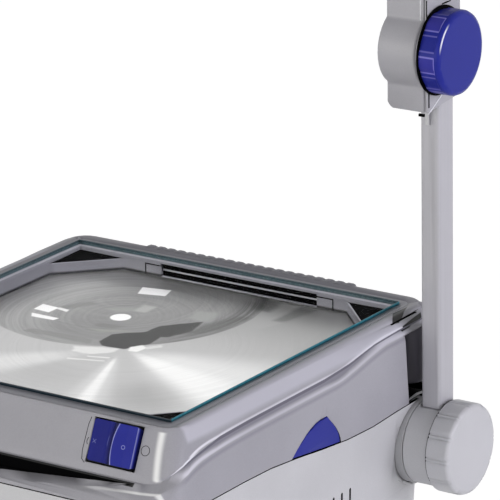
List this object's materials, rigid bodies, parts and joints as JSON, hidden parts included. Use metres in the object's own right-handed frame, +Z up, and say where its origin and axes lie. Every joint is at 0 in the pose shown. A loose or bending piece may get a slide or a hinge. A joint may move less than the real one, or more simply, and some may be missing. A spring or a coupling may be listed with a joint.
{
  "type": "overhead projector",
  "caption": "Transparency projector: lamp box under a lit glass stage, and a folding post that carries a focusing lens head and a tilting mirror.",
  "frame": {"origin": "middle of the part's box in plan, on the desk that the feet stand on", "axes": "+Z up; -Y the front, where the speaker stands; +X the right side, where the arm stands"},
  "size_m": [0.4006, 0.374, 0.6179],
  "materials": {
    "grey_casing": "fine moulded texture, mid grey",
    "light_casing": "fine moulded texture, light grey",
    "dark_trim": "dark grey, satin",
    "black_plastic": "black, satin",
    "blue_plastic": "deep blue, semi-gloss",
    "rubber": "black, matt",
    "bright_steel": "bright, ground",
    "post_alloy": "satin anodised",
    "sheet_alloy": "bare sheet",
    "clear_glass": "clear, polished",
    "acrylic": "clear moulded acrylic with fine rings",
    "mirror": "front-silvered",
    "copper_coil": "taped winding",
    "ceramic": "unglazed ceramic"
  },
  "bodies": {
    "base": {"lower_casing": "light_casing", "base_plate": "dark_trim", "foot_front_left": "rubber", "foot_front_right": "rubber", "foot_rear_left": "rubber", "foot_rear_right": "rubber", "hinge_base_left": "bright_steel", "hinge_base_right": "bright_steel", "hinge_pin_left": "bright_steel", "hinge_pin_right": "bright_steel", "hub_plate": "dark_trim", "hub_bolt": "bright_steel", "heat_shield": "sheet_alloy", "condenser_lens": "clear_glass", "reflector": "mirror", "reflector_stand": "sheet_alloy", "halogen_lamp": "clear_glass", "lamp_holder": "ceramic", "transformer_core": "bright_steel", "transformer_coil": "copper_coil", "fan_housing": "black_plastic", "mains_inlet": "black_plastic", "interlock_switch": "black_plastic"},
    "lid": {"upper_casing": "grey_casing", "corner_fairing": "dark_trim", "front_insert": "black_plastic", "switch_body": "black_plastic", "rocker_pin": "bright_steel", "stage_frame": "dark_trim", "slot_bar": "sheet_alloy", "fresnel_lens": "acrylic", "stage_glass": "clear_glass", "hinge_lid_left": "bright_steel", "hinge_lid_right": "bright_steel"},
    "rocker_body": {"rocker": "blue_plastic"},
    "latch_right": {"latch_button_right": "blue_plastic"},
    "latch_left": {"latch_button_left": "blue_plastic"},
    "arm": {"hub_barrel": "light_casing", "post": "post_alloy", "rack": "bright_steel", "post_cap": "dark_trim"},
    "clamp": {"clamp_knob": "light_casing"},
    "head": {"carriage_body": "grey_casing", "carriage_cover": "light_casing", "guide_strip": "light_casing", "head_arm": "grey_casing", "lens_barrel": "black_plastic", "lens_lower": "clear_glass", "lens_upper": "clear_glass", "mirror_bracket": "dark_trim", "mirror_pin": "bright_steel"},
    "focus": {"focus_knob": "blue_plastic", "pinion_shaft": "bright_steel", "pinion": "light_casing"},
    "mirror": {"mirror_frame": "grey_casing", "mirror_glass": "mirror"},
    "fan": {"fan_impeller": "black_plastic"}
  },
  "joints": [
    {"name": "lid_hinge", "type": "hinge", "parent": "base", "child": "lid", "pos_m": [-0.0223, 0.18285, 0.136], "axis": [-1, 0, 0], "range_deg": [0, 40]},
    {"name": "arm_fold", "type": "hinge", "parent": "base", "child": "arm", "pos_m": [0.1497, 0.14045, 0.0995], "axis": [-1, 0, 0], "range_deg": [0, 90]},
    {"name": "clamp_knob_turn", "type": "hinge", "parent": "arm", "child": "clamp", "pos_m": [0.1497, 0.14045, 0.0995], "axis": [1, 0, 0], "range_deg": [0, 180]},
    {"name": "carriage_slide", "type": "slide", "parent": "arm", "child": "head", "axis": [0, 0, 1], "range_m": [-0.035, 0.035]},
    {"name": "focus_knob_turn", "type": "hinge", "parent": "head", "child": "focus", "pos_m": [0.1817, 0.12515, 0.41], "axis": [1, 0, 0], "range_deg": [-270, 270]},
    {"name": "mirror_tilt", "type": "hinge", "parent": "head", "child": "mirror", "pos_m": [-0.0223, 0.06145, 0.533], "axis": [-1, 0, 0], "range_deg": [-20, 40]},
    {"name": "rocker_press", "type": "hinge", "parent": "lid", "child": "rocker_body", "pos_m": [0.0937, -0.16058, 0.17978], "axis": [0, 0.405, 0.9143], "range_deg": [0, 13]},
    {"name": "latch_right_press", "type": "slide", "parent": "lid", "child": "latch_right", "axis": [-1, 0, 0], "range_m": [0, 0.003], "stiffness_N_per_m": 900},
    {"name": "latch_left_press", "type": "slide", "parent": "lid", "child": "latch_left", "axis": [1, 0, 0], "range_m": [0, 0.003], "stiffness_N_per_m": 900},
    {"name": "fan_spin", "type": "hinge", "parent": "base", "child": "fan", "pos_m": [0.1127, 0.02045, 0.0518], "axis": [1, 0, 0], "continuous": true}
  ],
  "couplings": [
    {"joint": "focus_knob_turn", "follows": "carriage_slide", "rad_per_m": -133.33}
  ]
}
